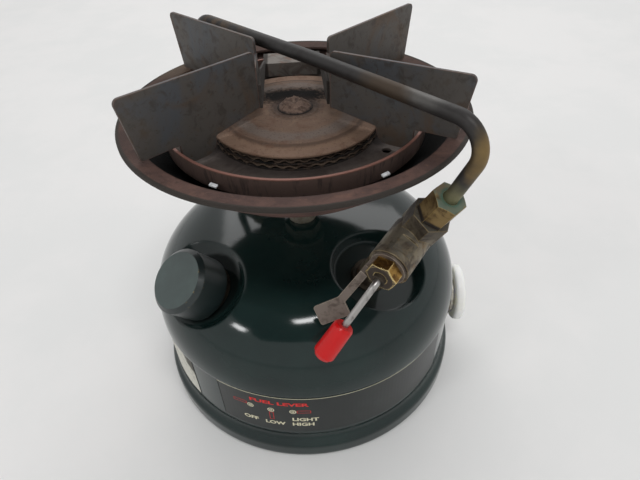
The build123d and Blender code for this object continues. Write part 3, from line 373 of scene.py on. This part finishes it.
greenBrassFinish = makeFinish({  # jam nut, olive flats, verdigris on its outer face
    "name": "verdigrisNutBrass", "colour": "867048", "rough": 0.4, "metal": 0.8, "soft": 0.35,
    "stains": [
        stain("5c4a30", clouds(5, 0.45, 0.65, warp=0.8), rough=0.55),
        stain("55665a", facing(riserWay, 0.75, 0.93), clouds(4, 0.3, 0.5), share=0.85, rough=0.75,
              metal=0.15),
        stain("6d5b43", around(spots["nutLeft"], 2, 2, 5, 3.4), share=0.8, rough=0.6, metal=0.4),
        stain("3b5a4a", around(spots["nutFace"], 2, 1.6, 5, 3.6), share=0.85, rough=0.8, metal=0.1),
        stain("1f1812", along(riserWay, 2, 0.4, 133.1, 132), rough=0.8, metal=0.2),
        stain("b3975c", edges(0.4, 0.03, 0.14), share=0.7, rough=0.3, metal=1.0)],
    "relief": [raised(clouds(0.8, 0.3, 0.8), 0.15, 0.15)]})

studFinish = makeFinish({  # plated hex stud, dull nickel grey with brown seams
    "name": "dullPlatedStud", "colour": "a59d8e", "rough": 0.42, "metal": 0.75, "soft": 0.4,
    "stains": [
        stain("81786a", clouds(3, 0.4, 0.7, warp=0.4), rough=0.5),
        stain("4b4136", clouds(1.6, 0.56, 0.7), share=0.6, rough=0.7)],
    "relief": [raised(clouds(0.8, 0.3, 0.8), 0.12, 0.15)]})

finishes["bright_brass"] = makeFinish({  # wrench-polished brass, gold edges, end face darker
    "name": "wrenchPolishedBrass", "colour": "9c7a42", "rough": 0.34, "metal": 1.0, "soft": 0.3,
    "stains": [
        stain("5e4325", clouds(4, 0.44, 0.6, warp=0.6), rough=0.5),
        # darker on the end face
        stain("40372f", facing(barrelWay, 0.8, 0.95), rough=0.6, metal=0.4),
        stain("f0d796", edges(0.8, 0.015, 0.07), rough=0.2)],
    "relief": [raised(clouds(0.7, 0.3, 0.8), 0.1, 0.12)]})

finishes["bright_steel"] = makeFinish({  # drawn steel wire, grey with fine scuffs
    "name": "drawnSteelWire", "colour": "aaa7a4", "rough": 0.36, "metal": 1.0,
    "stains": [
        stain("6a6562", clouds(2.5, 0.5, 0.68), share=0.7, rough=0.5)],
    "relief": [raised(clouds(0.5, 0.3, 0.8), 0.08, 0.1)]})

finishes["dull_steel"] = makeFinish({  # stamped strip, dull grey-brown with rub marks
    "name": "stampedDullStrip", "colour": "776d65", "rough": 0.55, "metal": 0.6, "soft": 0.3,
    "stains": [
        stain("5a5049", clouds(4, 0.45, 0.66, warp=0.8), rough=0.65),
        stain("a89c8c", edges(0.4, 0.03, 0.12), rough=0.4)],
    "relief": [raised(clouds(0.8, 0.3, 0.8), 0.1, 0.12)]})

finishes["red_grip"] = makeFinish({  # glossy red dipped vinyl, a little darker where thumbed
    "name": "dippedRedVinyl", "colour": "c41617", "rough": 0.36, "metal": 0.0, "soft": 0.6, "coat": 0.2,
    "stains": [
        stain("b31516", clouds(5, 0.5, 0.72))],
    "relief": [raised(clouds(2.4, 0, 1, detail=1), 0.06, 0.2)],
    "gloss": {"Coat Roughness": 0.1, "Specular IOR Level": 0.2}})

finishes["knob_plastic"] = makeFinish({  # milky moulded plastic, light glows through its rim
    "name": "milkyMouldedPlastic", "colour": "fbfaf3", "rough": 0.35, "metal": 0.0, "soft": 0.8,
    "stains": [
        stain("f3f1e7", clouds(7, 0.45, 0.7))],
    "relief": [raised(clouds(1.6, 0, 1, detail=1), 0.04, 0.2)],
    "gloss": {"Subsurface Weight": 0.8, "Subsurface Radius": (1.0, 1.0, 0.9), "Subsurface Scale": 4 * mm}})

finishes["cap_liner"] = makeFinish({  # pale moulded liner
    "name": "paleMouldedLiner", "colour": "b9b4a4", "rough": 0.5, "metal": 0.0,
    "stains": [
        stain("9f9989", clouds(4, 0.45, 0.7))]})

finishes["gasket_rubber"] = makeFinish({  # matt black cut rubber
    "name": "cutBlackRubber", "colour": "1c1b1a", "rough": 0.75, "metal": 0.0,
    "stains": [
        stain("2b2927", clouds(2, 0.5, 0.7))]})

finishes["packing"] = makeFinish({  # pressed graphite packing
    "name": "pressedGraphite", "colour": "2a2a2b", "rough": 0.6, "metal": 0.2,
    "stains": [
        stain("3d3d3e", clouds(1, 0.5, 0.7))]})

finishes["pump_leather"] = makeFinish({  # oiled cup leather
    "name": "oiledCupLeather", "colour": "5b3d25", "rough": 0.6, "metal": 0.0,
    "stains": [
        stain("3f2917", clouds(2, 0.45, 0.7))],
    "relief": [raised(clouds(0.5, 0.3, 0.8), 0.2, 0.15)]})

finishes["cast_mixer"] = makeFinish({  # sand-cast grey iron with brown bloom
    "name": "sandCastIron", "colour": "6b655d", "rough": 0.75, "metal": 0.4,
    "stains": [
        stain("6d5240", clouds(6, 0.5, 0.68), rough=0.9, metal=0.1)],
    "relief": [raised(clouds(0.7, 0.3, 0.8), 0.4, 0.25)]})

shadeDarkBrassFinish = makeFinish({  # brass painted dark as shade, for the bush, stem and neck that sit in shade under the barrel and the cap
    "name": "shadeDarkenedBrass", "colour": "453c31", "rough": 0.55, "metal": 0.5, "soft": 0.3,
    "stains": [
        stain("2b2620", clouds(3, 0.45, 0.65, warp=0.6), rough=0.7)],
    "relief": [raised(clouds(0.8, 0.3, 0.8), 0.15, 0.15)]})

paleBrassFinish = makeFinish({  # nickel-washed brass, pale and satin
    "name": "nickelWashedBrass", "colour": "d3d0c6", "rough": 0.45, "metal": 0.6, "soft": 0.3,
    "stains": [
        stain("aca79a", clouds(4, 0.48, 0.68, warp=0.6), rough=0.55)],
    "relief": [raised(clouds(0.8, 0.3, 0.8), 0.08, 0.12)]})

nodeFinishes = {  # nodes whose finish differs from the rest of their slot
    # valve bush, valve stem and filler neck take brass painted dark as shade
    "valve_bush": shadeDarkBrassFinish, "valve_stem": shadeDarkBrassFinish, "filler_neck": shadeDarkBrassFinish,
    "pump_cap": paleBrassFinish, "generator_nut": greenBrassFinish, "burner_stud": studFinish,
    "burner_cup": cupFinish, "flat_rings": ringFinish, "wavy_rings": waveFinish,
    "burner_screw": bossFinish, "grate_bridge": bridgeFinish}
for entry in frame["record"]["subparts"]:  # every solid takes its finish on its own slots
    for place in nodes[entry["node"]].material_slots:
        place.link = "OBJECT"
        place.material = nodeFinishes.get(entry["node"], finishes[entry["material_slot"]])
print("finishes laid on:", len(finishes) + len(nodeFinishes))


def addPiece(name, bm, finish, smooth=False):  # mesh to a finished piece riding the stove body
    bmesh.ops.recalc_face_normals(bm, faces=bm.faces)
    mesh = bpy.data.meshes.new(name)
    bm.to_mesh(mesh)
    bm.free()
    for face in mesh.polygons:
        face.use_smooth = smooth
    mesh.materials.append(finish)
    piece = bpy.data.objects.new(name, mesh)
    scene.collection.objects.link(piece)
    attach(piece, "stove")
    return piece


def spinProfile(bm, geom, angle, steps, closed=False):  # profile turned about the stove's own axis
    bmesh.ops.spin(bm, geom=geom, cent=(0, 0, 0), axis=(0, 0, 1), angle=angle, steps=steps, use_merge=closed)


waves = {"count": 44, "steps": 8, "sheet": 0.5, "swing": 0.4, "width": 6.0, "height": 1.5,  # mm
         "leads": (0.0, 1.9)}  # radians that each strip's waves start at


def makeWavyRings(name):  # two crimped strips between the flat rings
    low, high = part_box("wavy_rings")
    outer = (high[0] - low[0]) / 2
    inner = outer - waves["width"] * mm
    half = waves["height"] * mm / 2
    thick = waves["sheet"] * mm / 2
    bm = bmesh.new()
    for middle, lead in zip((low[2] + half, high[2] - half), waves["leads"]):
        before = set(bm.verts)
        profile = [(inner, -thick), (outer, -thick), (outer, thick), (inner, thick)]
        corners = [bm.verts.new((radius, 0.0, middle + rise)) for radius, rise in profile]
        sides = [bm.edges.new(pair) for pair in zip(corners, corners[1:] + corners[:1])]
        spinProfile(bm, corners + sides, 2 * math.pi, waves["count"] * waves["steps"], closed=True)
        for vert in set(bm.verts) - before:
            turn = math.atan2(vert.co.y, vert.co.x)
            vert.co.z += waves["swing"] * mm * math.sin(waves["count"] * turn + lead)
    piece = addPiece(name, bm, waveFinish)
    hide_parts("wavy_rings")


makeWavyRings("crimped_rings")
print("crimped rings made")

boss = {"lumps": 1.6, "depth": 0.7, "sunk": 2.0, "brow": 5.6, "merge": 0.02,  # mm
        "steps": 48, "calm": 0.3, "crust": (0.8, 2.0, 4),  # crust: dimension, gap and octaves of the noise
        "profile": ((0.0, 2.2), (1.2, 2.5), (2.4, 2.7), (3.6, 2.3), (4.8, 1.5), (5.8, 0.7),
                    (6.4, 0.0), (6.6, -0.5))}


def makeBoss(name):  # screw head under a crust of flaking rust
    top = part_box("burner_screw")[1][2] - boss["sunk"] * mm
    bm = bmesh.new()
    points = [bm.verts.new((radius * mm, 0.0, top + rise * mm)) for radius, rise in boss["profile"]]
    lines = [bm.edges.new(pair) for pair in zip(points, points[1:])]
    spinProfile(bm, points + lines, 2 * math.pi, boss["steps"], closed=True)
    bmesh.ops.remove_doubles(bm, verts=bm.verts, dist=boss["merge"] * mm)
    bmesh.ops.subdivide_edges(bm, edges=bm.edges, cuts=1, use_grid_fill=True)
    for vert in bm.verts:  # the crust is lumpy on the crown and calmer at the foot
        share = 1.0 if math.hypot(vert.co.x, vert.co.y) < boss["brow"] * mm else boss["calm"]
        lump = noise.fractal(vert.co / (boss["lumps"] * mm), *boss["crust"])
        vert.co.z += lump * boss["depth"] * mm * share
    addPiece(name, bm, bossFinish, smooth=True)


makeBoss("crusted_screw_head")
print("screw crust made")

bandLow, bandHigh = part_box("fount_bottom")
bandRadius = (bandHigh[0] - bandLow[0]) / 2


def onBand(azimuth, height, lift):  # a point on the fount's straight band
    turn = math.radians(azimuth)
    radius = bandRadius + lift * mm
    return Vector((radius * math.cos(turn), radius * math.sin(turn), height * mm))


def makeFilm(name, span, heights, lift, finish):  # thin film rolled round the band
    (left, right), (low, high) = span, heights
    under = lift - film["thick"]
    profile = [(low, under), (high, under), (high, lift), (low, lift)]
    bm = bmesh.new()
    bm.faces.new([bm.verts.new(onBand(left, height, reach)) for height, reach in profile])
    steps = max(2, int((right - left) / film["step"]))
    spinProfile(bm, bm.verts[:] + bm.edges[:] + bm.faces[:], math.radians(right - left), steps)
    addPiece(name, bm, finish)


def drawWord(bm, text, capHeight, stretch):  # letters as a flat mesh in mm, centred
    curve = bpy.data.curves.new("word", "FONT")
    curve.body = text
    curve.align_x = "CENTER"
    curve.size = capHeight / printed["capShare"]
    curve.resolution_u = printed["curveSteps"]
    curve.offset = printed["weight"] * capHeight
    holder = bpy.data.objects.new("word", curve)
    scene.collection.objects.link(holder)
    bpy.context.view_layer.update()
    mesh = bpy.data.meshes.new_from_object(holder.evaluated_get(bpy.context.evaluated_depsgraph_get()))
    mesh.transform(Matrix.Diagonal((stretch, 1, 1, 1)) @ Matrix.Translation((0, -capHeight / 2, 0)))
    bm.from_mesh(mesh)
    bpy.data.objects.remove(holder)
    bpy.data.curves.remove(curve)
    bpy.data.meshes.remove(mesh)


def drawRing(bm, outer, inner):  # flat ring in mm
    ends = [bm.verts.new((radius, 0, 0)) for radius in (outer, inner)]
    spinProfile(bm, ends + [bm.edges.new(ends)], 2 * math.pi, printed["ringSteps"], closed=True)


def drawBox(bm, left, low, right, high):  # outline of a small box in mm
    corners = bmesh.ops.create_grid(bm, x_segments=1, y_segments=1, size=0.5)["verts"]
    bmesh.ops.scale(bm, vec=(right - left, high - low, 1), verts=corners)
    bmesh.ops.translate(bm, vec=((left + right) / 2, (low + high) / 2, 0), verts=corners)
    panel = corners[0].link_faces[0]
    panel.normal_update()
    bmesh.ops.inset_individual(bm, faces=[panel], thickness=printed["boxLine"], use_even_offset=True)
    bmesh.ops.delete(bm, geom=[panel], context="FACES")


def printMark(bm, azimuth, height, draw, *sizes):  # one flat drawing rolled onto the band, facing outwards
    before = set(bm.verts)
    draw(bm, *sizes)
    fresh = set(bm.verts) - before
    for face in {face for vert in fresh for face in vert.link_faces}:
        face.normal_update()
        if face.normal.z < 0:
            face.normal_flip()
    for vert in fresh:
        swing = math.degrees(vert.co.x * mm / bandRadius)
        vert.co = onBand(azimuth + swing, height + vert.co.y, printed["lift"])


film = {"thick": 0.05, "step": 1.5, "lift": 0.08, "lineLift": 0.13}  # mm, step in degrees
label = {"span": (-124.4, -36.0), "heights": (16.6, 41.4), "line": 0.3,  # degrees round the band, mm up it
         "foldSpan": (-124.4, -124.1), "foldHeights": (17.5, 41.1)}
sticker = {"span": (-166.0, -137.4), "edgeSpan": (-137.4, -136.8), "heights": (17.0, 40.5)}
printed = {"lift": 0.14, "capHeight": 2.25, "ring": (1.4, 1.0), "hub": (0.65, 0.25), "boxLine": 0.2,  # mm
           "capShare": 0.7, "weight": 0.05, "curveSteps": 3, "ringSteps": 20}  # shares of a letter, counts
title = {"place": (-102.3, 37.2), "text": "FUEL LEVER", "capHeight": 2.1, "stretch": 1.55}
leverStops = (  # ring place in degrees and mm, lever outline beside it, words with their place and stretch
    {"ring": (-112.3, 32.4), "box": (-7.4, 0.2, -1.6, 1.9), "words": (("OFF", -112.9, 23.0, 1.15),)},
    {"ring": (-105.1, 32.0), "box": (-0.9, -7.0, 0.9, -1.6), "words": (("LOW", -104.2, 22.6, 1.1),)},
    {"ring": (-97.6, 32.0), "box": (1.6, -0.9, 7.2, 0.9),
     "words": (("LIGHT", -93.6, 26.3, 1.2), ("HIGH", -94.4, 22.6, 1.17))})

filmFinish = makeFinish({  # black-green printed film, satin
    "name": "printedDarkFilm", "colour": "171c1b", "rough": 0.3, "metal": 0.0,
    "stains": [
        stain("222826", clouds(8, 0.45, 0.7), share=0.6)],
    "gloss": {"Specular IOR Level": 0.35}})
creamInk = makeFinish({  # cream print, rubbed thin in places
    "name": "creamPrintInk", "colour": "d6d1b4", "rough": 0.55, "metal": 0.0,
    "stains": [
        stain("9d997f", clouds(2, 0.55, 0.7), share=0.6)]})
redInk = makeFinish({  # red print, rubbed thin in places
    "name": "redPrintInk", "colour": "d52320", "rough": 0.55, "metal": 0.0,
    "stains": [
        stain("8f1a18", clouds(2, 0.55, 0.7), share=0.6)]})
filmEdge = makeFinish({  # shadowed edge where the film has lifted
    "name": "liftedFilmEdge", "colour": "0a0d0c", "rough": 0.7, "metal": 0.0,
    "stains": [
        stain("1d2120", clouds(4, 0.5, 0.7), share=0.6)]})
paleFilm = makeFinish({  # old pale sticker, greyed and scuffed
    "name": "scuffedPaleFilm", "colour": "cac8bc", "rough": 0.5, "metal": 0.0,
    "stains": [
        stain("94938b", clouds(5, 0.5, 0.68, warp=0.6)),
        stain("59605c", clouds(1.8, 0.6, 0.7), share=0.8),
        stain("2e2a20", around(spots["stickerCorner"], 3, 4, 11.5, 7.5, axes=(1, 1, 0.8)), share=0.9,
              rough=0.75)]})

top = label["heights"][1]
makeFilm("label_film", label["span"], label["heights"], film["lift"], filmFinish)
makeFilm("label_top_line", label["span"], (top - label["line"], top), film["lineLift"], creamInk)
makeFilm("label_left_line", label["foldSpan"], label["foldHeights"], film["lineLift"], filmEdge)
makeFilm("pale_sticker", sticker["span"], sticker["heights"], film["lift"], paleFilm)
makeFilm("pale_sticker_edge", sticker["edgeSpan"], sticker["heights"], film["lift"], filmEdge)

creamPrint = bmesh.new()
redPrint = bmesh.new()
printMark(redPrint, *title["place"], drawWord, title["text"], title["capHeight"], title["stretch"])
for stop in leverStops:
    for word, azimuth, height, stretch in stop["words"]:
        printMark(creamPrint, azimuth, height, drawWord, word, printed["capHeight"], stretch)
    printMark(creamPrint, *stop["ring"], drawRing, *printed["ring"])
    printMark(creamPrint, *stop["ring"], drawRing, *printed["hub"])
    printMark(redPrint, *stop["ring"], drawBox, *stop["box"])
addPiece("lever_marks_cream", creamPrint, creamInk)
addPiece("lever_marks_red", redPrint, redInk)
print("label made")

tabs = {"radius": 50.3, "height": 124.2, "azimuths": (-57.5, -122.5), "size": (1.3, 3.0, 0.7), "lean": 0.5,
        "droop": 0.3, "round": 0.2}  # mm and degrees, lean is a slope

tabFinish = makeFinish({  # bright aluminium tab, scuffed
    "name": "brightAluminiumTab", "colour": "e6e8ea", "rough": 0.4, "metal": 0.15,
    "stains": [
        stain("a7a9aa", clouds(1.0, 0.5, 0.7), share=0.6)]})


def makeTabs(name):  # small bent retaining tabs between cup and bowl
    bm = bmesh.new()
    for azimuth in tabs["azimuths"]:
        made = bmesh.ops.create_cube(bm, size=1.0)["verts"]
        bmesh.ops.scale(bm, vec=[side * mm for side in tabs["size"]], verts=made)
        for vert in made:  # ends bent up, outer side drooping
            vert.co.z += abs(vert.co.y) * tabs["lean"] - (tabs["droop"] * mm if vert.co.x > 0 else 0.0)
        spin = Matrix.Rotation(math.radians(azimuth), 4, "Z")
        place = spin @ Matrix.Translation((tabs["radius"] * mm, 0, tabs["height"] * mm))
        bmesh.ops.transform(bm, matrix=place, verts=made)
    bmesh.ops.bevel(bm, geom=bm.edges[:], offset=tabs["round"] * mm, offset_type="OFFSET", segments=2,
                    profile=0.5, affect="EDGES", material=-1)
    addPiece(name, bm, tabFinish, smooth=True)


makeTabs("cup_tabs")
print("tabs made")


def makeCard(name, size, place, finish):  # flat studio card or floor
    mesh = bpy.data.meshes.new(name)
    bm = bmesh.new()
    bmesh.ops.create_grid(bm, x_segments=1, y_segments=1, size=1.0)
    bmesh.ops.scale(bm, vec=(size[0] / 2, size[1] / 2, 1.0), verts=bm.verts)
    bmesh.ops.translate(bm, vec=place, verts=bm.verts)
    bm.to_mesh(mesh)
    bm.free()
    card = bpy.data.objects.new(name, mesh)
    scene.collection.objects.link(card)
    mesh.materials.append(finish)


floorFinish = makeFinish({  # pale table laminate
    "name": "paleTableLaminate", "colour": "e6e5e4", "rough": 0.6, "metal": 0.0,
    "stains": [
        stain("e2e2e1", clouds(120, 0.4, 0.6))]})
ceilingFinish = makeFinish({  # dim ceiling that the gloss mirrors
    "name": "greyCeilingBoard", "colour": "77787a", "rough": 0.9, "metal": 0.0,
    "stains": [
        stain("727375", clouds(200, 0.4, 0.6))]})
cards = {  # metres
    "pale_floor": {"size": (6.0, 6.0), "place": (0, 0, 0), "finish": floorFinish},
    "grey_ceiling": {"size": (3.2, 2.6), "place": (0, -0.9, 1.7), "finish": ceilingFinish}}
for name, card in cards.items():
    makeCard(name, card["size"], card["place"], card["finish"])

lamps = {  # rectangular studio lamps, metres and watts
    "ceiling_lamp": {"place": (0.1, -0.46, 1.19), "target": (0, -0.05, 0.07),
                     "size": (0.56, 0.13), "watts": 5.0},
    "left_lamp": {"place": (-0.84, -0.57, 0.79), "target": (-0.02, -0.05, 0.067),
                  "size": (0.19, 0.11), "watts": 1.3},
    "back_lamp": {"place": (0.15, 0.9, 1.0), "target": (0, 0, 0.08),
                  "size": (1.2, 0.6), "watts": 4.0}}
for name, lamp in lamps.items():
    light = bpy.data.lights.new(name, "AREA")
    light.shape = "RECTANGLE"
    light.size, light.size_y = lamp["size"]
    light.energy = lamp["watts"]
    holder = bpy.data.objects.new(name, light)
    holder.location = lamp["place"]
    aim = Vector(lamp["target"]) - Vector(lamp["place"])
    holder.rotation_euler = aim.to_track_quat("-Z", "Y").to_euler()
    scene.collection.objects.link(holder)

room = {"light": 0.8, "seen": 0.78}  # strength on the stove, strength in view and in the gloss
world = bpy.data.worlds.new("paleRoom")
scene.world = world
world.use_nodes = True
air = world.node_tree
rays = addNode(air, "LightPath").outputs
seen = rays["Is Camera Ray"]
for ray in ("Is Glossy Ray", "Is Transmission Ray"):
    seen = addNode(air, "Math", {0: seen, 1: rays[ray]}, operation="MAXIMUM").outputs[0]
level = addNode(air, "Mix", {0: seen, 2: room["light"], 3: room["seen"]}, data_type="FLOAT").outputs[0]
air.nodes["Background"].inputs["Color"].default_value = (1.0, 1.0, 1.0, 1.0)
air.links.new(level, air.nodes["Background"].inputs["Strength"])

view = {  # the photo's own view: mm of lens, metres, and the axes right, up and back
    "lens": 28.06, "sensor": 36.0, "clip": (0.01, 20.0), "place": (0, -0.17249, 0.21336),
    "axes": ((0.9972, -0.0681, -0.0297), (0.0674, 0.6562, 0.7516), (-0.0318, -0.7515, 0.659))}
lens = bpy.data.cameras.new("photo_camera")
lens.sensor_width = view["sensor"]
lens.lens = view["lens"]
lens.clip_start, lens.clip_end = view["clip"]
camera = bpy.data.objects.new("photo_camera", lens)
scene.collection.objects.link(camera)
camera.matrix_world = Matrix.Translation(view["place"]) @ Matrix(view["axes"]).transposed().to_4x4()
scene.camera = camera
scene.view_settings.view_transform = "Standard"
print("room and camera set")
